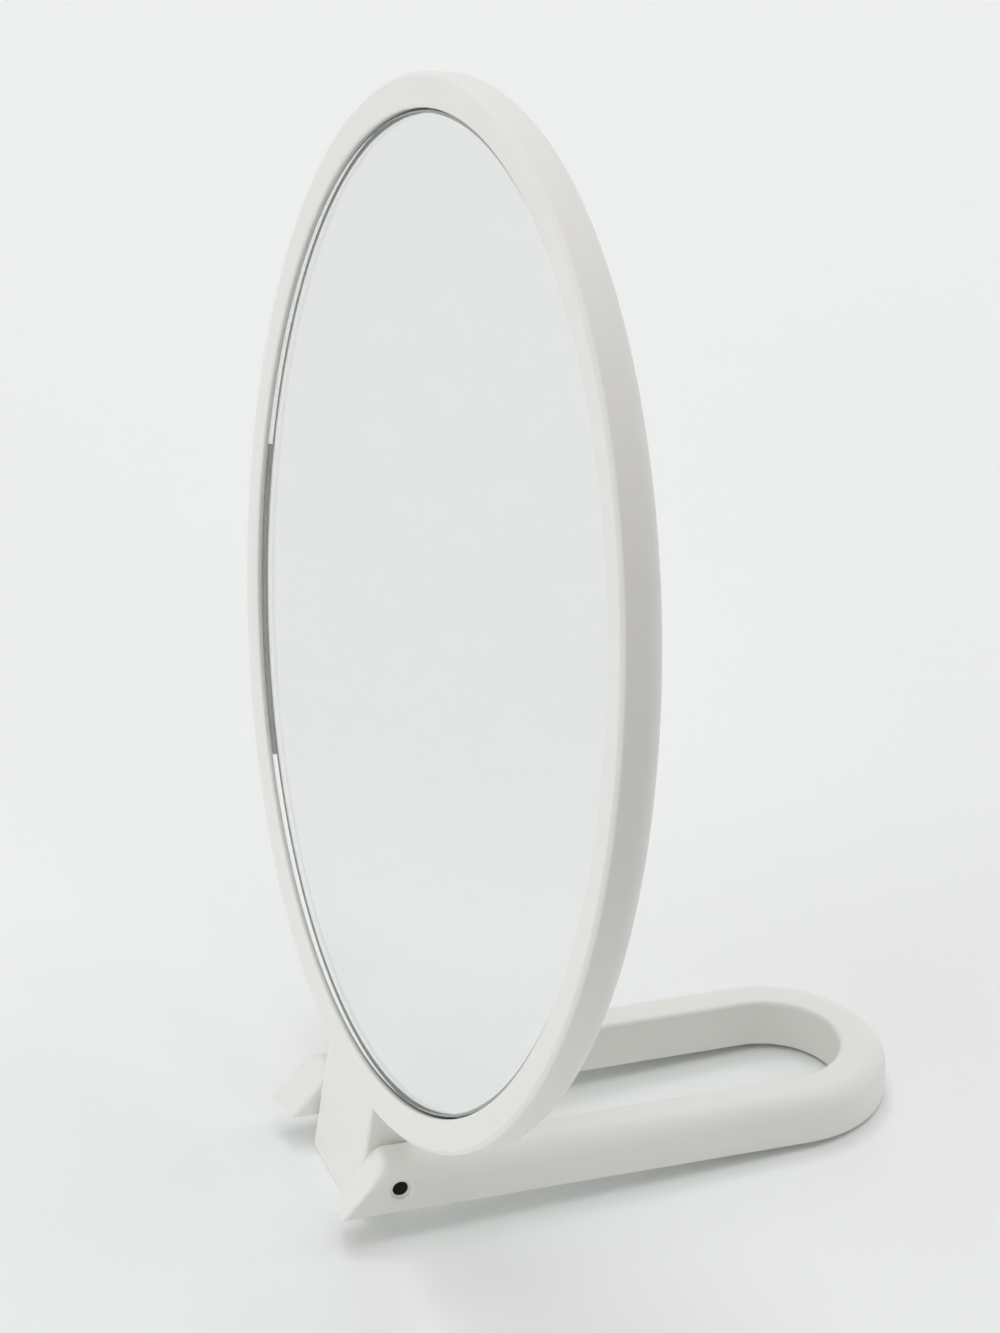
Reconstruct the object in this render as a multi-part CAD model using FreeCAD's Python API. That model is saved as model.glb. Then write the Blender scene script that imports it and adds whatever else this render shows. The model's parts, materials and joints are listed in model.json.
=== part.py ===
import FreeCAD, Part
import math
import os

# Folding hand mirror: a round mirror head on a short neck, hinged between the two arms of a
# loop handle. It stands on the neck's foot and on the far end of the loop.
# Lengths are millimetres. +X runs along the hinge, the mirror faces -Y and +Z is up.
# The origin is where the head's middle plane meets the surface that the mirror stands on.

Vector = FreeCAD.Vector

# Standing pose, in degrees
head_lean = 9.7
handle_slope = 3.1

# Head outline
head_diameter = 150.0
ring_face_width = 5.0
front_edge_break = 0.7
inner_edge_break = 0.25
back_edge_radius = 4.0
hinge_drop = 8.3

# Layers of the head, from the ring's face to its back
pane_recess = 0.4
pane_thickness = 2.0
silver_thickness = 0.15
foam_thickness = 0.7
shelf_thickness = 1.35
cover_lip_height = 0.7
cover_wall = 1.5

# Mirror pane, its silvered backing and the foam pad
pane_gap = 0.3
silver_inset = 0.3
foam_inset = 1.5

# Shelf and back cover
shelf_width = 5.0
cover_land_width = 2.0
cover_gap = 0.15
cover_lip_width = 3.2
rib_thickness = 1.4
rib_gap = 0.4
rib_count = 6
ring_rib_share = 0.45

# Neck
neck_edge_radius = 0.6

# Loop handle
handle_width = 35.0
handle_reach = 80.7
handle_thickness = 7.4
arm_width = 7.0
top_outer_radius = 3.2
top_inner_break = 0.5
bottom_edge_break = 0.25
nose_gap = 1.4
mitre_angle = 49.0
mitre_edge_break = 0.7

# Hinge
pin_diameter = 2.3
pin_recess = 0.6
recess_diameter = 3.0
recess_edge_break = 0.3
pin_fit = 0.02
running_fit = 0.03
sleeve_wall = 1.0
sleeve_slot = 0.6
sleeve_inset = 0.5
sleeve_fit = 0.02
washer_diameter = 6.4
washer_thickness = 0.4
washer_play = 0.05
washer_bore_gap = 0.1

# How far a cutting shape runs past what it cuts
overrun = 5.0

# Depths are measured from the hinge axis, which lies in the head's middle plane
head_thickness = (pane_recess + pane_thickness + silver_thickness + foam_thickness
                  + shelf_thickness + cover_lip_height + cover_wall)
face_depth = -head_thickness / 2
pane_front = face_depth + pane_recess
pane_back = pane_front + pane_thickness
silver_back = pane_back + silver_thickness
shelf_front = silver_back + foam_thickness
shelf_back = shelf_front + shelf_thickness
cover_inside = shelf_back + cover_lip_height
back_depth = cover_inside + cover_wall

# Radii about the mirror's centre
head_radius = head_diameter / 2
opening_radius = head_radius - ring_face_width
pane_radius = opening_radius - pane_gap
pocket_radius = head_radius - back_edge_radius - cover_land_width
shelf_radius = min(pocket_radius, opening_radius) - shelf_width
cover_radius = pocket_radius - cover_gap
rib_reach = shelf_radius - rib_gap
neck_top_radius = (opening_radius + head_radius - back_edge_radius) / 2
centre_rise = head_radius + hinge_drop

# Handle places, measured from the hinge axis
handle_radius = handle_width / 2
arm_inside = handle_radius - arm_width
loop_centre = handle_reach - handle_radius

# Hinge places
pin_radius = pin_diameter / 2
recess_radius = recess_diameter / 2
pin_length = handle_width - 2 * pin_recess
sleeve_bore = pin_radius + running_fit
sleeve_radius = sleeve_bore + sleeve_wall
neck_width = 2 * (arm_inside - washer_thickness - 2 * washer_play)
washer_inside = neck_width / 2 + washer_play

# Standing heights: the loop's far end and the neck's foot both rest on the surface
lean = math.radians(head_lean)
slope = math.radians(handle_slope)
hinge_height = handle_reach * math.sin(slope) + handle_thickness / 2 * math.cos(slope)
hinge_place = Vector(0, hinge_height * math.tan(lean), hinge_height)


def corner_run(before, corner, after, radius):
    """Gives where a rounded corner starts, its middle and its end."""
    to_before = (before - corner).normalize()
    to_after = (after - corner).normalize()
    half_angle = to_before.getAngle(to_after) / 2
    tangent = radius / math.tan(half_angle)
    inwards = (to_before + to_after).normalize()
    to_middle = radius / math.sin(half_angle) - radius
    return corner + to_before * tangent, corner + inwards * to_middle, corner + to_after * tangent


def outline_face(corners):
    """Makes a flat face from (point, corner radius) pairs, with an arc at each rounded corner."""
    runs = []
    for index, (corner, radius) in enumerate(corners):
        before = corners[index - 1][0]
        after = corners[(index + 1) % len(corners)][0]
        runs.append(corner_run(before, corner, after, radius) if radius else (corner, None, corner))
    edges = []
    for index, (start, middle, end) in enumerate(runs):
        if middle:
            edges.append(Part.Arc(start, middle, end).toShape())
        edges.append(Part.LineSegment(end, runs[(index + 1) % len(runs)][0]).toShape())
    return Part.Face(Part.Wire(edges))


def head_round(corners):
    """Spins (radius, depth, corner radius) points about the axis through the mirror's centre."""
    face = outline_face([(Vector(across, depth, centre_rise), corner) for across, depth, corner in corners])
    return face.revolve(Vector(0, 0, centre_rise), Vector(0, 1, 0), 360)


def head_disc(radius, front, back):
    """Makes a plain round layer of the head between two depths."""
    return Part.makeCylinder(radius, back - front, Vector(0, front, centre_rise), Vector(0, 1, 0))


def hinge_cylinder(radius, start, length):
    """Makes a cylinder on the hinge axis."""
    return Part.makeCylinder(radius, length, Vector(start, 0, 0), Vector(1, 0, 0))


def across_prism(points, width):
    """Extrudes a side view, given as (depth, height) points, evenly to both sides of the middle."""
    face = outline_face([(Vector(-width / 2, depth, height), 0) for depth, height in points])
    return face.extrude(Vector(width, 0, 0))


def floor_block():
    """Gives everything below the standing surface, as the leaning head sees it."""
    reach = head_thickness / 2 + overrun
    drop = hinge_height / math.cos(lean)
    front = (-reach, -drop - reach * math.tan(lean))
    back = (reach, -drop + reach * math.tan(lean))
    bottom = front[1] - overrun
    return across_prism([front, back, (reach, bottom), (-reach, bottom)], neck_width + overrun)


def neck():
    """The tongue under the ring, with its foot cut level for standing."""
    half = neck_width / 2
    bottom = -hinge_height / math.cos(lean) - overrun
    section = outline_face([(Vector(-half, face_depth, bottom), neck_edge_radius),
                            (Vector(half, face_depth, bottom), neck_edge_radius),
                            (Vector(half, back_depth, bottom), neck_edge_radius),
                            (Vector(-half, back_depth, bottom), neck_edge_radius)])
    slab = section.extrude(Vector(0, 0, centre_rise - bottom))
    inside_ring = head_disc(neck_top_radius, face_depth - overrun, back_depth + overrun)
    return slab.cut(inside_ring).cut(floor_block())


def head_frame():
    """The moulded ring with its shelf for the pane, and the neck that carries the hinge."""
    ring = head_round([(opening_radius, face_depth + inner_edge_break, 0),
                       (opening_radius + inner_edge_break, face_depth, 0),
                       (head_radius - front_edge_break, face_depth, 0),
                       (head_radius, face_depth + front_edge_break, 0),
                       (head_radius, back_depth, back_edge_radius),
                       (pocket_radius, back_depth, 0),
                       (pocket_radius, shelf_back, 0),
                       (shelf_radius, shelf_back, 0),
                       (shelf_radius, shelf_front, 0),
                       (opening_radius, shelf_front, 0)])
    whole = ring.fuse(neck()).removeSplitter()
    bore = hinge_cylinder(sleeve_radius + sleeve_fit, -handle_width / 2, handle_width)
    return whole.cut(bore)


def mirror_glass():
    """The round pane of float glass, in front of its silver coat."""
    return head_disc(pane_radius, pane_front, pane_back)


def silvered_backing():
    """The silver coat and its backing paint, on the rear of the pane."""
    return head_disc(pane_radius - silver_inset, pane_back, silver_back)


def foam_pad():
    """The adhesive foam disc that holds the pane on the shelf and the cover's ribs."""
    return head_disc(pane_radius - foam_inset, silver_back, shelf_front)


def ring_rib(radius):
    """The round rib of the back cover, from its plate up to the foam pad."""
    return head_round([(radius - rib_thickness / 2, shelf_front, 0),
                       (radius + rib_thickness / 2, shelf_front, 0),
                       (radius + rib_thickness / 2, cover_inside, 0),
                       (radius - rib_thickness / 2, cover_inside, 0)])


def spoke_rib(start, turn):
    """One straight rib of the back cover, from a radius out to the shelf's edge."""
    rib = Part.makeBox(rib_reach - start, cover_inside - shelf_front, rib_thickness,
                       Vector(start, shelf_front, centre_rise - rib_thickness / 2))
    rib.rotate(Vector(0, 0, centre_rise), Vector(0, 1, 0), turn)
    return rib


def back_cover():
    """The disc that closes the head's back, with a lip on the shelf and ribs under the foam pad."""
    plate = head_round([(0, cover_inside, 0),
                        (cover_radius - cover_lip_width, cover_inside, 0),
                        (cover_radius - cover_lip_width, shelf_back, 0),
                        (cover_radius, shelf_back, 0),
                        (cover_radius, back_depth, 0),
                        (0, back_depth, 0)])
    ring_radius = ring_rib_share * shelf_radius
    spokes = [spoke_rib(ring_radius, 360 * index / rib_count) for index in range(rib_count)]
    return plate.multiFuse([ring_rib(ring_radius)] + spokes).removeSplitter()


def nose_reach(across):
    """How far the arms' ends reach in front of the hinge, so that they follow the rim of the opened head."""
    return centre_rise - math.sqrt((head_radius + nose_gap) ** 2 - across ** 2)


def mitre_block():
    """What is cut from the front of both arms: hollow like the rim, and sloped so that the rim swings clear."""
    slant = Vector(0, math.cos(math.radians(mitre_angle)), math.sin(math.radians(mitre_angle)))
    run = handle_thickness / slant.z + 2 * overrun
    side = handle_radius + overrun
    low = -handle_thickness / 2
    back = -nose_reach(side)
    front = back - run
    corners = [Vector(side, back, low), Vector(side, front, low), Vector(-side, front, low), Vector(-side, back, low)]
    rim = Part.Arc(corners[-1], Vector(0, -nose_reach(0), low), corners[0]).toShape()
    outline = Part.Face(Part.Wire([rim] + Part.makePolygon(corners).Edges))
    outline.translate(-slant * overrun)
    return outline.extrude(slant * run)


def soften_mitres(loop):
    """Breaks the edges of the arms' mitred ends, apart from the pointed edge at the bottom."""
    bottom = bottom_edge_break - handle_thickness / 2
    ends = [face for face in loop.Faces if face.BoundBox.YMax < loop_centre / 2]
    edges = [edge for face in ends for edge in face.Edges if edge.CenterOfMass.z > bottom]
    return loop.makeChamfer(mitre_edge_break, edges)


def pin_hole():
    """The hole for the pin through both arms, with a round recess at each end where the pin shows."""
    half = handle_width / 2
    hole = hinge_cylinder(pin_radius + pin_fit, -half - overrun, handle_width + 2 * overrun)
    for side in (1, -1):
        face = Vector(side * half, 0, 0)
        inwards = Vector(-side, 0, 0)
        recess = Part.makeCylinder(recess_radius, pin_recess, face, inwards)
        mouth = Part.makeCone(recess_radius + recess_edge_break, recess_radius, recess_edge_break, face, inwards)
        hole = hole.multiFuse([recess, mouth])
    return hole


def handle_loop():
    """The moulded loop: two mitred arms joined by a half ring, bored across for the pin."""
    half = handle_thickness / 2
    section = outline_face([(Vector(arm_inside, loop_centre, -half + bottom_edge_break), 0),
                            (Vector(arm_inside + bottom_edge_break, loop_centre, -half), 0),
                            (Vector(handle_radius - bottom_edge_break, loop_centre, -half), 0),
                            (Vector(handle_radius, loop_centre, -half + bottom_edge_break), 0),
                            (Vector(handle_radius, loop_centre, half), top_outer_radius),
                            (Vector(arm_inside + top_inner_break, loop_centre, half), 0),
                            (Vector(arm_inside, loop_centre, half - top_inner_break), 0)])
    half_ring = section.revolve(Vector(0, loop_centre, 0), Vector(0, 0, 1), 180)
    arm = section.extrude(Vector(0, -loop_centre - nose_reach(handle_radius) - overrun, 0))
    other_arm = arm.mirror(Vector(0, 0, 0), Vector(1, 0, 0))
    loop = half_ring.multiFuse([arm, other_arm]).removeSplitter()
    return soften_mitres(loop.cut(mitre_block())).cut(pin_hole())


def hinge_pin():
    """The steel pin, which stops at the floors of the arms' recesses."""
    return hinge_cylinder(pin_radius, -pin_length / 2, pin_length)


def friction_sleeve():
    """The split sleeve in the neck that grips the pin and holds the head at its angle."""
    length = neck_width - 2 * sleeve_inset
    tube = hinge_cylinder(sleeve_radius, -length / 2, length)
    tube = tube.cut(hinge_cylinder(sleeve_bore, -neck_width, 2 * neck_width))
    slot = Part.makeBox(2 * neck_width, sleeve_slot, sleeve_radius + overrun,
                        Vector(-neck_width, -sleeve_slot / 2, 0))
    return tube.cut(slot)


def hinge_washer(side):
    """One thin washer between the neck and an arm; side is 1 or -1 along X."""
    start = washer_inside if side > 0 else -washer_inside - washer_thickness
    disc = hinge_cylinder(washer_diameter / 2, start, washer_thickness)
    hole = hinge_cylinder(pin_radius + washer_bore_gap, -handle_width, 2 * handle_width)
    return disc.cut(hole)


def stand(shape, turn):
    """Turns a piece about the hinge axis and sets the axis at its standing height."""
    shape.rotate(Vector(0, 0, 0), Vector(1, 0, 0), turn)
    shape.translate(hinge_place)
    return shape


head_pieces = {
    "head_frame": head_frame(),
    "mirror_glass": mirror_glass(),
    "silvered_backing": silvered_backing(),
    "foam_pad": foam_pad(),
    "back_cover": back_cover(),
    "friction_sleeve": friction_sleeve(),
}
handle_pieces = {
    "handle_loop": handle_loop(),
    "hinge_pin": hinge_pin(),
    "left_washer": hinge_washer(-1),
    "right_washer": hinge_washer(1),
}

os.makedirs("parts", exist_ok=True)
for pieces, turn in ((head_pieces, -head_lean), (handle_pieces, -handle_slope)):
    for name, shape in pieces.items():
        placed = stand(shape, turn)
        placed.exportStep(os.path.join("parts", name + ".step"))
        print(name, "solids", len(placed.Solids), "valid", placed.isValid(), "volume", round(placed.Volume, 1))
print("hinge axis at", tuple(round(value, 3) for value in hinge_place))
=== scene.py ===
import json
import math
import bmesh
import bpy
from mathutils import Matrix, Vector


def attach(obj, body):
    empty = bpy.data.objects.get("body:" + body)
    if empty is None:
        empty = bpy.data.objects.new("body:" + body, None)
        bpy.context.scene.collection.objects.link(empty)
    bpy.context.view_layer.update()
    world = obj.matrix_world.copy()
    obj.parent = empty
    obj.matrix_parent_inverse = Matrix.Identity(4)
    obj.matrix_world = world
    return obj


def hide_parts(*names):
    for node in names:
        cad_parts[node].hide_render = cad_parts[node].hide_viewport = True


# Folding hand mirror: a round head hinged to a loop handle, standing on a pale floor.
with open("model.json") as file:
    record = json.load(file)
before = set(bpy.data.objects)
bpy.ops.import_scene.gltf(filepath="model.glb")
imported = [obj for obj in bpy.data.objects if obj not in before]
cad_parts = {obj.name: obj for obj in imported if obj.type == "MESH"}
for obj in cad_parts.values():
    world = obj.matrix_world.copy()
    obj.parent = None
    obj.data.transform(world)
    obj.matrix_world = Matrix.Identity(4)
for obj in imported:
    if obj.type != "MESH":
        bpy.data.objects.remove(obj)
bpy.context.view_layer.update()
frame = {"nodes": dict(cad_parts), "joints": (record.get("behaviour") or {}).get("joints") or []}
mm = 0.001
near = 0.001  # mm, points closer than this are one
arcSteps = 4  # faces of a rounded corner for each mm of its rounding, and the fewest
smoothAngle = math.radians(35)
print("frame loaded:", ", ".join(sorted(frame["nodes"])))

# the head and the handle are each drawn about the hinge axis, then turned to how they stand
standing = dict(headLean=9.7, handleSlope=3.1)  # degrees
hingeAxis = Matrix.Translation(frame["joints"][0]["pos_m"])
headPlace = hingeAxis @ Matrix.Rotation(-math.radians(standing["headLean"]), 4, "X")
handlePlace = hingeAxis @ Matrix.Rotation(-math.radians(standing["handleSlope"]), 4, "X")


# colours, nodes and patterns
def linear(hexColour):
    channels = [int(hexColour[i:i + 2], 16) / 255 for i in (0, 2, 4)]
    return [c / 12.92 if c <= 0.04045 else ((c + 0.055) / 1.055) ** 2.4 for c in channels] + [1]


def perMetre(sizeMm):
    return 1 / (sizeMm * mm)  # texture scale for a feature of that size


def addNode(tree, kind, props=None, values=None, links=None):
    node = tree.nodes.new(kind)
    for name, value in (props or {}).items():
        setattr(node, name, value)
    for socket, value in (values or {}).items():
        node.inputs[socket].default_value = value
    for socket, source in (links or {}).items():
        tree.links.new(source, node.inputs[socket])
    return node


def newMaterial(name):
    material = bpy.data.materials.new(name)
    material.use_nodes = True
    material.node_tree.nodes.clear()
    return material, material.node_tree


def objectCoords(tree):
    return addNode(tree, "ShaderNodeTexCoord").outputs["Object"]


def clouds(tree, sizeMm, detail=3):
    # soft random patches of about that size
    return addNode(tree, "ShaderNodeTexNoise", {}, {"Scale": perMetre(sizeMm), "Detail": detail},
                   {"Vector": objectCoords(tree)}).outputs["Fac"]


def blend(tree, first, second, share):
    return addNode(tree, "ShaderNodeMix", {"data_type": "RGBA"}, {6: linear(first), 7: linear(second)},
                   {0: share}).outputs[2]


def spread(tree, limits, share):
    return addNode(tree, "ShaderNodeMapRange", {}, {"To Min": limits[0], "To Max": limits[1]},
                   {"Value": share}).outputs[0]


def mixed(tree, share, first, second):
    return addNode(tree, "ShaderNodeMixShader", {}, {}, {0: share, 1: first.outputs[0], 2: second.outputs[0]})


def showSurface(tree, shader):
    addNode(tree, "ShaderNodeOutputMaterial", {}, {}, {"Surface": shader.outputs[0]})


# ABS, injection moulded in a spark-eroded tool: warm off-white, even, with a fine dull grain and
# the faint cloudiness that the flow of the melt leaves. The eye sees soft highlights and no mirror image.
# A real grain of about 0.1 mm would vanish at this size, so it is drawn three times as coarse.
absLook = dict(light="EBECE8", dark="E7E8E3", cloudMm=22, grainMm=0.35, grainDepthMm=0.012,
               grainStrength=0.35, roughness=(0.44, 0.56), ior=1.53)


def mouldedAbs():
    look = absLook
    material, tree = newMaterial("mouldedAbs")
    cloud = clouds(tree, look["cloudMm"])
    grain = clouds(tree, look["grainMm"], detail=2)
    bump = addNode(tree, "ShaderNodeBump", {},
                   {"Strength": look["grainStrength"], "Distance": look["grainDepthMm"] * mm},
                   {"Height": grain})
    shader = addNode(tree, "ShaderNodeBsdfPrincipled", {}, {"IOR": look["ior"]},
                     {"Base Color": blend(tree, look["dark"], look["light"], cloud),
                      "Roughness": spread(tree, look["roughness"], grain), "Normal": bump.outputs[0]})
    showSurface(tree, shader)
    return material


# Float glass, cut and seamed: clear, with the faint green of its iron that shows where the eye looks along
# the edge. A trace of dust keeps the surface from being perfectly clear.
glassLook = dict(tint="FFFFFF", body="DCEDE6", bodyDensity=10, dustMm=3, roughness=(0.0, 0.006), ior=1.52)


def floatGlass():
    look = glassLook
    material, tree = newMaterial("floatGlass")
    dust = clouds(tree, look["dustMm"], detail=4)
    shader = addNode(tree, "ShaderNodeBsdfPrincipled", {},
                     {"Base Color": linear(look["tint"]), "IOR": look["ior"], "Transmission Weight": 1},
                     {"Roughness": spread(tree, look["roughness"], dust)})
    body = addNode(tree, "ShaderNodeVolumeAbsorption", {},
                   {"Color": linear(look["body"]), "Density": look["bodyDensity"]})
    addNode(tree, "ShaderNodeOutputMaterial", {}, {},
            {"Surface": shader.outputs[0], "Volume": body.outputs[0]})
    return material


# Ground glass on the pane's front edge: the narrow seam, left as the stone cut it, pale grey-green and dull.
groundLook = dict(light="D3D9D2", dark="BFC6BE", stoneMm=0.5, clear=0.2, roughness=0.6)


def groundGlass():
    look = groundLook
    material, tree = newMaterial("groundGlass")
    stone = clouds(tree, look["stoneMm"])
    shader = addNode(tree, "ShaderNodeBsdfPrincipled", {},
                     {"Roughness": look["roughness"], "IOR": glassLook["ior"],
                      "Transmission Weight": look["clear"]},
                     {"Base Color": blend(tree, look["dark"], look["light"], stone)})
    showSurface(tree, shader)
    return material


# Silver coat on the rear of the pane: a bright neutral mirror, very slightly uneven where it was sprayed.
silverLook = dict(light="F9F9F8", dark="F7F8F7", cloudMm=18, roughness=(0.0, 0.012))


def silverCoat():
    look = silverLook
    material, tree = newMaterial("silverCoat")
    cloud = clouds(tree, look["cloudMm"])
    shader = addNode(tree, "ShaderNodeBsdfPrincipled", {}, {"Metallic": 1},
                     {"Base Color": blend(tree, look["dark"], look["light"], cloud),
                      "Roughness": spread(tree, look["roughness"], cloud)})
    showSurface(tree, shader)
    return material


# Steel rod, blackened in hot oxide: nearly black, with turning marks that streak its dull gloss.
steelLook = dict(light="2B2A29", dark="151413", markMm=0.12, roughness=(0.3, 0.5))


def blackenedSteel():
    look = steelLook
    material, tree = newMaterial("blackenedSteel")
    marks = clouds(tree, look["markMm"])
    shader = addNode(tree, "ShaderNodeBsdfPrincipled", {}, {"Metallic": 1},
                     {"Base Color": blend(tree, look["dark"], look["light"], marks),
                      "Roughness": spread(tree, look["roughness"], marks)})
    showSurface(tree, shader)
    return material


# Acetal, turned from rod: milky white and waxy, with fine lathe marks.
acetalLook = dict(light="EFEFEA", dark="E6E6E0", markMm=0.2, roughness=(0.3, 0.4), ior=1.48)


def turnedAcetal():
    look = acetalLook
    material, tree = newMaterial("turnedAcetal")
    marks = clouds(tree, look["markMm"], detail=2)
    shader = addNode(tree, "ShaderNodeBsdfPrincipled", {}, {"IOR": look["ior"]},
                     {"Base Color": blend(tree, look["dark"], look["light"], marks),
                      "Roughness": spread(tree, look["roughness"], marks)})
    showSurface(tree, shader)
    return material


# Polyethylene foam, closed cell: flat white with tiny cells pressed in; the colour darkens where the cells
# sink in, which is painted shade.
foamLook = dict(light="EDEDEA", dark="CFCFCB", cellMm=0.6, cellDepthMm=0.1, cellStrength=0.5, roughness=0.9)


def closedCellFoam():
    look = foamLook
    material, tree = newMaterial("closedCellFoam")
    cellDepthAndShade = addNode(tree, "ShaderNodeTexVoronoi", {}, {"Scale": perMetre(look["cellMm"])},
                    {"Vector": objectCoords(tree)}).outputs["Distance"]
    bump = addNode(tree, "ShaderNodeBump", {"invert": True},
                   {"Strength": look["cellStrength"], "Distance": look["cellDepthMm"] * mm},
                   {"Height": cellDepthAndShade})
    shader = addNode(tree, "ShaderNodeBsdfPrincipled", {}, {"Roughness": look["roughness"]},
                     # painted shade: darker the deeper the cell's hollow
                     {"Base Color": blend(tree, look["light"], look["dark"], cellDepthAndShade),
                      "Normal": bump.outputs[0]})
    showSurface(tree, shader)
    return material


plastic = mouldedAbs()
glass = floatGlass()
seamGlass = groundGlass()
silver = silverCoat()
steel = blackenedSteel()
acetal = turnedAcetal()
foam = closedCellFoam()
print("materials:", len(bpy.data.materials))


# shapes
def flatOutline(corners):
    # a face from (place, rounding) corners in mm, its corners rounded by vertex bevels
    bm = bmesh.new()
    verts = [bm.verts.new(Vector(place) * mm) for place, rounding in corners]
    bm.faces.new(verts)
    for vert, (place, rounding) in zip(verts, corners):
        if rounding:
            bmesh.ops.bevel(bm, geom=[vert], offset=rounding * mm, offset_type="OFFSET", affect="VERTICES",
                            segments=max(arcSteps, round(rounding * arcSteps)), profile=0.5, material=-1)
    return bm


def closeUp(bm):
    bmesh.ops.remove_doubles(bm, verts=bm.verts[:], dist=near * mm)
    bmesh.ops.recalc_face_normals(bm, faces=bm.faces[:])
    return bm


def spinOutline(corners, centre, axis, steps):
    # spins an outline right round an axis into a closed shell, leaving out its edges on the axis
    bm = flatOutline(corners)
    bmesh.ops.delete(bm, geom=bm.faces[:], context="FACES_ONLY")
    middle = Vector(centre) * mm
    line = Vector(axis)
    onAxis = [edge for edge in bm.edges
              if all((vert.co - middle).cross(line).length < near * mm for vert in edge.verts)]
    bmesh.ops.delete(bm, geom=onAxis, context="EDGES")
    bmesh.ops.spin(bm, geom=bm.verts[:] + bm.edges[:], cent=middle, axis=line, angle=math.tau, steps=steps,
                   use_merge=True)
    return closeUp(bm)


def spinRound(corners, rise, steps):
    # (radius, depth, rounding) corners, spun about the axis through the mirror's centre
    outline = [((radius, depth, rise), rounding) for radius, depth, rounding in corners]
    return spinOutline(outline, (0, 0, rise), (0, 1, 0), steps)


def hingeRod(corners, steps):
    # (distance along the hinge, radius, rounding) corners, spun about the hinge axis
    outline = [((along, 0, radius), rounding) for along, radius, rounding in corners]
    return spinOutline(outline, (0, 0, 0), (1, 0, 0), steps)


def cutFlat(bm, point, normal):
    # cuts away what lies on the normal's side of a plane and closes the cut
    cut = bmesh.ops.bisect_plane(bm, geom=bm.verts[:] + bm.edges[:] + bm.faces[:], plane_co=point,
                                 plane_no=normal, clear_outer=True)
    rim = [item for item in cut["geom_cut"] if isinstance(item, bmesh.types.BMEdge)]
    bmesh.ops.edgeloop_fill(bm, edges=rim)
    return closeUp(bm)


def grow(bm, along):
    # draws a flat face out into a block
    grown = bmesh.ops.extrude_face_region(bm, geom=bm.faces[:])
    raised = [item for item in grown["geom"] if isinstance(item, bmesh.types.BMVert)]
    bmesh.ops.translate(bm, verts=raised, vec=along)
    return closeUp(bm)


def softenEdges(bm, edges, width, segments):
    bmesh.ops.bevel(bm, geom=edges, offset=width * mm, offset_type="OFFSET", affect="EDGES",
                    segments=segments, profile=0.5, material=-1, clamp_overlap=True)


def newObject(name, bm):
    mesh = bpy.data.meshes.new(name)
    bm.to_mesh(mesh)
    bm.free()
    obj = bpy.data.objects.new(name, mesh)
    bpy.context.scene.collection.objects.link(obj)
    return obj


def combine(obj, toolMesh, operation):
    # joins a second shape to a piece, or cuts it out, and keeps the result as the piece's mesh
    tool = newObject("tool", toolMesh)
    step = obj.modifiers.new("combine", "BOOLEAN")
    step.operation = operation
    step.solver = "EXACT"
    step.object = tool
    shaped = obj.evaluated_get(bpy.context.evaluated_depsgraph_get())
    obj.data = bpy.data.meshes.new_from_object(shaped)
    obj.data.name = obj.name
    obj.modifiers.clear()
    bpy.data.objects.remove(tool)


def finishPiece(obj, place, body, node, material):
    obj.data.transform(place)
    obj.data.materials.clear()
    obj.data.materials.append(material)
    obj.data.shade_smooth()
    obj.data.set_sharp_from_angle(angle=smoothAngle)
    # keeps flat faces flat beside small rounds
    faceNormals = obj.modifiers.new("faceNormals", "WEIGHTED_NORMAL")
    faceNormals.keep_sharp = True
    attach(obj, body)
    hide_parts(node)
    print("piece:", obj.name, len(obj.data.polygons), "faces")


# head: moulded ring with its shelf, and the neck under it, in one piece
headSize = dict(radius=75.0, openingRadius=70.0, pocketRadius=69.0, shelfRadius=64.0, rise=83.3, front=-3.4,
                shelfFront=-0.15, shelfBack=1.2, back=3.4, frontBevel=0.6, bevelRound=0.2, innerRound=0.45,
                backRound=3.6, seamRound=0.15, steps=240)
neckSize = dict(width=20.0, sideRound=0.6, footRound=0.3, footSegments=3, bottom=-16.0, topRadius=70.5,
                boreRadius=2.2, boreSteps=48)


def neckShape():
    size = neckSize
    half = size["width"] / 2
    bm = flatOutline([((x, depth, size["bottom"]), size["sideRound"])
                      for x, depth in ((-half, headSize["front"]), (half, headSize["front"]),
                                       (half, headSize["back"]), (-half, headSize["back"]))])
    top = headSize["rise"] - size["topRadius"]
    grow(bm, (0, 0, (top - size["bottom"]) * mm))
    floorPoint = headPlace.inverted() @ Vector((0, 0, 0))
    floorDown = headPlace.to_3x3().inverted() @ Vector((0, 0, -1))
    cutFlat(bm, floorPoint, floorDown)
    foot = [edge for edge in bm.edges
            if all(abs((vert.co - floorPoint).dot(floorDown)) < near * mm for vert in edge.verts)]
    softenEdges(bm, foot, size["footRound"], size["footSegments"])
    return bm


def makeHeadFrame():
    size = headSize
    obj = newObject("headFrame", spinRound([
        (size["openingRadius"], size["front"], size["innerRound"]),
        (size["radius"] - size["frontBevel"], size["front"], size["bevelRound"]),
        (size["radius"], size["front"] + size["frontBevel"], size["bevelRound"]),
        (size["radius"], size["back"], size["backRound"]),
        (size["pocketRadius"], size["back"], size["seamRound"]),
        (size["pocketRadius"], size["shelfBack"], 0),
        (size["shelfRadius"], size["shelfBack"], 0),
        (size["shelfRadius"], size["shelfFront"], 0),
        (size["openingRadius"], size["shelfFront"], 0)], size["rise"], size["steps"]))
    combine(obj, neckShape(), "UNION")
    end = neckSize["width"]  # well past both sides of the neck
    combine(obj, hingeRod([(-end, 0, 0), (end, 0, 0), (end, neckSize["boreRadius"], 0),
                           (-end, neckSize["boreRadius"], 0)], neckSize["boreSteps"]), "DIFFERENCE")
    finishPiece(obj, headPlace, "head", "head_frame", plastic)


makeHeadFrame()

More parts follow.
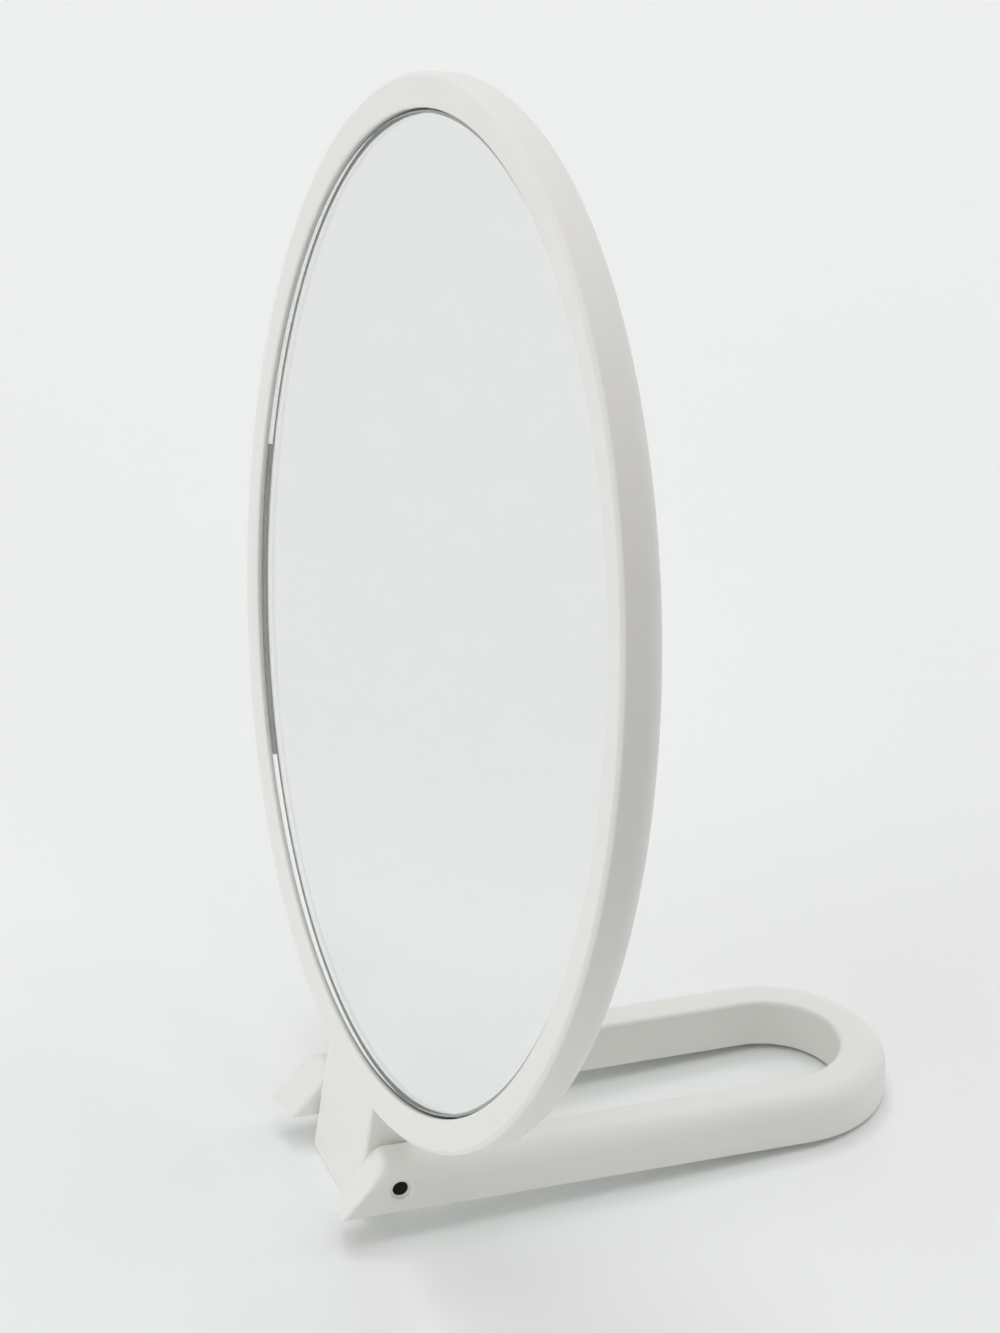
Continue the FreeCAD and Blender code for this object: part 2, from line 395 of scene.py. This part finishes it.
# pane: round glass with a polished edge, which mirrors the light from above and below beside the silver,
# and a narrow ground seam in front of it; its rear overlaps the silver a hair, so that no air lies between
paneSize = dict(radius=69.7, front=-2.75, back=-0.98, seam=0.4, seamFacing=(0.5, 0.9), steps=240)


def makePane():
    size = paneSize
    obj = newObject("mirrorPane", spinRound([
        (0, size["front"], 0),
        (size["radius"] - size["seam"], size["front"], 0),
        (size["radius"], size["front"] + size["seam"], 0),
        (size["radius"], size["back"], 0),
        (0, size["back"], 0)], headSize["rise"], size["steps"]))
    least, most = size["seamFacing"]  # the seam's faces look half forward, half outward
    seam = [least < abs(face.normal.y) < most for face in obj.data.polygons]
    finishPiece(obj, headPlace, "head", "mirror_glass", glass)
    obj.data.materials.append(seamGlass)
    obj.data.polygons.foreach_set("material_index", seam)


makePane()

# silver: the coat runs out to the pane's edge
silverSize = dict(radius=69.69, front=-1.0, back=-0.85, steps=240)


def makeSilver():
    size = silverSize
    obj = newObject("silverDisc", spinRound([
        (0, size["front"], 0), (size["radius"], size["front"], 0),
        (size["radius"], size["back"], 0), (0, size["back"], 0)], headSize["rise"], size["steps"]))
    finishPiece(obj, headPlace, "head", "silvered_backing", silver)


makeSilver()

# handle: one moulded loop; its arms end in mitres either side of the neck, set back to clear the rim of the
# opened head
handleSize = dict(width=35.0, reach=80.7, thickness=7.4, armWidth=7.0, topOuterRound=3.2, topInnerRound=0.7,
                  noseGap=1.4, mitreAngle=49.0, mitreRound=1.0, mitreSegments=8, edgeRound=0.28,
                  edgeSegments=5, overrun=1.0, steps=72)
holeSize = dict(radius=1.17, recessRadius=1.5, recessDepth=0.6, mouthRound=0.5, skin=0.002, steps=64)


def noseReach(across):
    return headSize["rise"] - math.sqrt((headSize["radius"] + handleSize["noseGap"]) ** 2 - across ** 2)


def mitreBlock():
    # what is cut off the arms' ends: one flat slanted face for each arm, near enough to the rim's curve
    size = handleSize
    lean = math.radians(size["mitreAngle"])
    slant = Vector((0, math.cos(lean), math.sin(lean)))
    run = 3 * size["thickness"]  # long enough to pass right through the arm
    side = size["width"] / 2 + size["overrun"]
    gap = size["width"] / 2 - size["armWidth"] - size["overrun"]
    low = -size["thickness"] / 2
    front = -noseReach(side) - run
    corners = [(x, -noseReach(x), low) for x in (-side, -gap, gap, side)]
    corners += [(side, front, low), (-side, front, low)]
    bm = flatOutline([(Vector(corner) - slant * size["thickness"], 0) for corner in corners])
    return grow(bm, slant * run * mm)


def holeShape():
    size = holeSize
    outer = handleSize["width"] / 2
    skin = outer + size["skin"]  # the mouth's round starts a hair outside the arm, so no two faces coincide
    deep = outer - size["recessDepth"]
    past = outer + size["radius"]
    wide = 2 * size["recessRadius"]
    half = [(past, 0, 0), (past, wide, 0), (skin, wide, 0), (skin, size["recessRadius"], size["mouthRound"]),
            (deep, size["recessRadius"], 0), (deep, size["radius"], 0)]
    otherHalf = [(-along, radius, rounding) for along, radius, rounding in reversed(half)]
    return hingeRod(half + otherHalf, size["steps"])


def sharpEdges(bm):
    return [edge for edge in bm.edges if edge.is_manifold and edge.calc_face_angle() > smoothAngle]


def softenHandle(obj):
    size = handleSize
    bm = bmesh.new()
    bm.from_mesh(obj.data)
    closeUp(bm)
    # the mitres' edges get a larger round than the rest, apart from those on the underside
    share = 0.5  # a face looks forward, or down, when more than this share of its normal does
    ends = [edge for edge in sharpEdges(bm) if any(face.normal.y < -share for face in edge.link_faces)
            and all(face.normal.z > -share for face in edge.link_faces)]
    softenEdges(bm, ends, size["mitreRound"], size["mitreSegments"])
    softenEdges(bm, sharpEdges(bm), size["edgeRound"], size["edgeSegments"])
    closeUp(bm).to_mesh(obj.data)
    bm.free()


def makeHandle():
    size = handleSize
    outer = size["width"] / 2
    inner = outer - size["armWidth"]
    half = size["thickness"] / 2
    centre = size["reach"] - outer
    bm = flatOutline([((inner, centre, -half), 0), ((outer, centre, -half), 0),
                      ((outer, centre, half), size["topOuterRound"]),
                      ((inner, centre, half), size["topInnerRound"])])
    bmesh.ops.delete(bm, geom=bm.faces[:], context="FACES_ONLY")
    section = bm.edges[:]
    turned = bmesh.ops.spin(bm, geom=bm.verts[:] + section, cent=(0, centre * mm, 0), axis=(0, 0, 1),
                            angle=math.pi, steps=size["steps"])
    farEnd = [item for item in turned["geom_last"] if isinstance(item, bmesh.types.BMEdge)]
    for end in (section, farEnd):
        arm = bmesh.ops.extrude_edge_only(bm, edges=end)
        tip = [item for item in arm["geom"] if isinstance(item, bmesh.types.BMVert)]
        bmesh.ops.translate(bm, verts=tip, vec=(0, -(centre + 2 * noseReach(outer)) * mm, 0))
        rim = [edge for edge in bm.edges if all(vert in tip for vert in edge.verts)]
        bmesh.ops.edgeloop_fill(bm, edges=rim)
    obj = newObject("handleLoop", closeUp(bm))
    combine(obj, mitreBlock(), "DIFFERENCE")
    softenHandle(obj)
    combine(obj, holeShape(), "DIFFERENCE")
    finishPiece(obj, handlePlace, "handle", "handle_loop", plastic)


makeHandle()

# hinge pin: a plain rod with rounded ends, set back in the arms' recesses
pinSize = dict(radius=1.15, halfLength=16.9, endRound=0.2, steps=64)


def makePin():
    size = pinSize
    end = size["halfLength"]
    obj = newObject("hingePin", hingeRod([(-end, 0, 0), (end, 0, 0), (end, size["radius"], size["endRound"]),
                                          (-end, size["radius"], size["endRound"])], size["steps"]))
    finishPiece(obj, handlePlace, "handle", "hinge_pin", steel)


makePin()

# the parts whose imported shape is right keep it, with their finish
packedFinish = dict(back_cover=plastic, foam_pad=foam, friction_sleeve=acetal, left_washer=acetal,
                    right_washer=acetal)
for node, material in packedFinish.items():
    part = frame["nodes"][node]
    part.data.materials.clear()
    part.data.materials.append(material)
print("packed parts finished:", len(packedFinish))

# Floor: matt white paper, a little cool, that takes the soft shadows. Past its edge on the right it throws no
# light back on the object. Far off it fades into the pale backdrop.
floorLook = dict(light="F5F8F8", dark="F3F7F6", cloudMm=60, roughness=0.9, gloss=0.2, reach=3000, edge=340,
                 drop=0.02, fadeFrom=700, fadeTo=1800, backdrop="EDEFEF")


def lookedAt(tree):
    # 1 for what the camera sees, straight or by way of gloss, mirror and glass, and 0 for light on the object
    ray = addNode(tree, "ShaderNodeLightPath").outputs
    looked = ray["Is Camera Ray"]
    for kind in ("Is Glossy Ray", "Is Transmission Ray"):
        looked = addNode(tree, "ShaderNodeMath", {"operation": "MAXIMUM"}, {},
                         {0: looked, 1: ray[kind]}).outputs[0]
    return looked


def floorPaper():
    look = floorLook
    material, tree = newMaterial("floorPaper")
    cloud = clouds(tree, look["cloudMm"])
    paper = addNode(tree, "ShaderNodeBsdfPrincipled", {},
                    {"Roughness": look["roughness"], "Specular IOR Level": look["gloss"]},
                    {"Base Color": blend(tree, look["dark"], look["light"], cloud)})
    away = addNode(tree, "ShaderNodeVectorMath", {"operation": "LENGTH"}, {}, {0: objectCoords(tree)})
    fade = addNode(tree, "ShaderNodeMapRange", {},
                   {"From Min": look["fadeFrom"] * mm, "From Max": look["fadeTo"] * mm},
                   {"Value": away.outputs["Value"]})
    share = addNode(tree, "ShaderNodeMath", {"operation": "MULTIPLY"}, {},
                    {0: fade.outputs[0], 1: lookedAt(tree)})
    pale = addNode(tree, "ShaderNodeEmission", {}, {"Color": linear(look["backdrop"]), "Strength": 1})
    showSurface(tree, mixed(tree, share.outputs[0], paper, pale))
    material.cycles.emission_sampling = "NONE"  # it is no lamp
    return material


def makeFloor():
    look = floorLook
    material = floorPaper()
    reach = look["reach"]
    for name, left, right in (("floor", -reach, look["edge"]), ("floorPastEdge", look["edge"], reach)):
        corners = ((left, -reach), (right, -reach), (right, reach), (left, reach))
        floor = newObject(name, flatOutline([((x, y, -look["drop"]), 0) for x, y in corners]))
        floor.data.materials.append(material)
        floor.visible_diffuse = left < 0


makeFloor()

# Dark card: grey board on the right, out of the picture, that gives the dark stretch in the pane's polished
# edge. Only rays that the silver and the edge have both turned, in four bounces, meet it. All others pass.
cardLook = dict(light="1C1B1A", dark="161514", fibreMm=2, right=340, across=800, height=740, bounces=4,
                slack=0.5)


def greyBoard():
    look = cardLook
    material, tree = newMaterial("greyBoard")
    fibre = clouds(tree, look["fibreMm"])
    board = addNode(tree, "ShaderNodeBsdfDiffuse", {}, {},
                    {"Color": blend(tree, look["dark"], look["light"], fibre)})
    clear = addNode(tree, "ShaderNodeBsdfTransparent")
    met = addNode(tree, "ShaderNodeMath", {"operation": "COMPARE"}, {1: look["bounces"], 2: look["slack"]},
                  {0: addNode(tree, "ShaderNodeLightPath").outputs["Ray Depth"]})
    showSurface(tree, mixed(tree, met.outputs[0], clear, board))
    return material


def makeCard():
    look = cardLook
    side = look["across"] / 2
    corners = ((-side, 0), (-side, look["height"]), (side, look["height"]), (side, 0))
    card = newObject("darkCard", flatOutline([((look["right"], y, z), 0) for y, z in corners]))
    card.data.materials.append(greyBoard())
    card.visible_camera = False
    card.visible_diffuse = False
    card.visible_glossy = False
    card.visible_shadow = False


makeCard()
print("floor and card made")

# light: a dim warm room with a pale backdrop that brightens overhead, a very wide soft lamp overhead and
# weaker lamps all round. A lamp has its direction from the origin (degrees from +X towards +Y, degrees up),
# its width in mm and its power in watts.
roomLight = dict(colour="FFF0DA", strength=0.147, overhead=1.12, upward=(0.4, 0.9))
lampSet = dict(distance=2000, aim=(0, 20, 40), colour="FAFAFE")
lamps = dict(overhead=(200, 84, 2400, 14.6), front=(270, 25, 2400, 10.5), frontLow=(270, 15, 1200, 7.1),
             frontRight=(315, 15, 1200, 4.8), right=(0, 45, 1200, 2.1), backRight=(45, 15, 1200, 3.3),
             backLow=(90, 15, 1200, 5.8), back=(90, 40, 500, 2.9), backHigh=(90, 65, 500, 1.7),
             backLeft=(135, 45, 1200, 3.1), left=(190, 25, 2400, 3.7), leftLow=(160, 25, 500, 3.2),
             leftHigh=(180, 65, 500, 4.0))


def makeRoom():
    look = roomLight
    world = bpy.data.worlds.new("paleRoom")
    world.use_nodes = True
    tree = world.node_tree
    tree.nodes.clear()
    towards = addNode(tree, "ShaderNodeSeparateXYZ", {}, {},
                      {0: addNode(tree, "ShaderNodeTexCoord").outputs["Generated"]})
    low, high = look["upward"]  # the backdrop brightens between these upward shares of a direction
    level = addNode(tree, "ShaderNodeMapRange", {},
                    {"From Min": low, "From Max": high, "To Min": 1, "To Max": look["overhead"]},
                    {"Value": towards.outputs["Z"]})
    room = addNode(tree, "ShaderNodeBackground", {},
                   {"Color": linear(look["colour"]), "Strength": look["strength"]})
    backdrop = addNode(tree, "ShaderNodeBackground", {}, {"Color": linear(floorLook["backdrop"])},
                       {"Strength": level.outputs[0]})
    both = mixed(tree, lookedAt(tree), room, backdrop)
    addNode(tree, "ShaderNodeOutputWorld", {}, {}, {"Surface": both.outputs[0]})
    bpy.context.scene.world = world


def makeLamp(name, around, up, across, power):
    data = bpy.data.lights.new(name, "AREA")
    data.shape = "DISK"
    data.size = across * mm
    data.energy = power
    data.color = linear(lampSet["colour"])[:3]
    lamp = bpy.data.objects.new(name, data)
    aim = Vector(lampSet["aim"]) * mm
    turn = Matrix.Rotation(math.radians(around), 3, "Z") @ Matrix.Rotation(-math.radians(up), 3, "Y")
    lamp.location = turn @ Vector((lampSet["distance"] * mm, 0, 0))
    lamp.rotation_euler = (aim - lamp.location).to_track_quat("-Z", "Y").to_euler()
    lamp.visible_camera = False
    lamp.visible_glossy = False  # the backdrop stands for the lamps in gloss and in the mirror
    lamp.visible_transmission = False
    bpy.context.scene.collection.objects.link(lamp)


makeRoom()
for name, setting in lamps.items():
    makeLamp(name, *setting)
bpy.context.scene.cycles.blur_glossy = 0  # the pane throws its light on the floor undimmed
print("light: room and", ", ".join(lamps))

# camera: the photograph's view, a long lens from the front right and above
shot = dict(place=(658.93, -198.24, 467.85), azimuth=71.36, elevation=29.148, roll=-1.408, lens=153.36,
            sensor=36, clip=(10, 100000))


def makeCamera():
    data = bpy.data.cameras.new("shot")
    data.lens = shot["lens"]
    data.sensor_width = shot["sensor"]
    data.clip_start, data.clip_end = [distance * mm for distance in shot["clip"]]
    camera = bpy.data.objects.new("shot", data)
    camera.matrix_world = (Matrix.Translation(Vector(shot["place"]) * mm)
                           @ Matrix.Rotation(math.radians(shot["azimuth"]), 4, "Z")
                           @ Matrix.Rotation(math.radians(90 - shot["elevation"]), 4, "X")
                           @ Matrix.Rotation(math.radians(shot["roll"]), 4, "Z"))
    bpy.context.scene.collection.objects.link(camera)
    bpy.context.scene.camera = camera


makeCamera()
bpy.context.scene.view_settings.view_transform = "Standard"

# brings the scene up to date
bpy.context.view_layer.update()
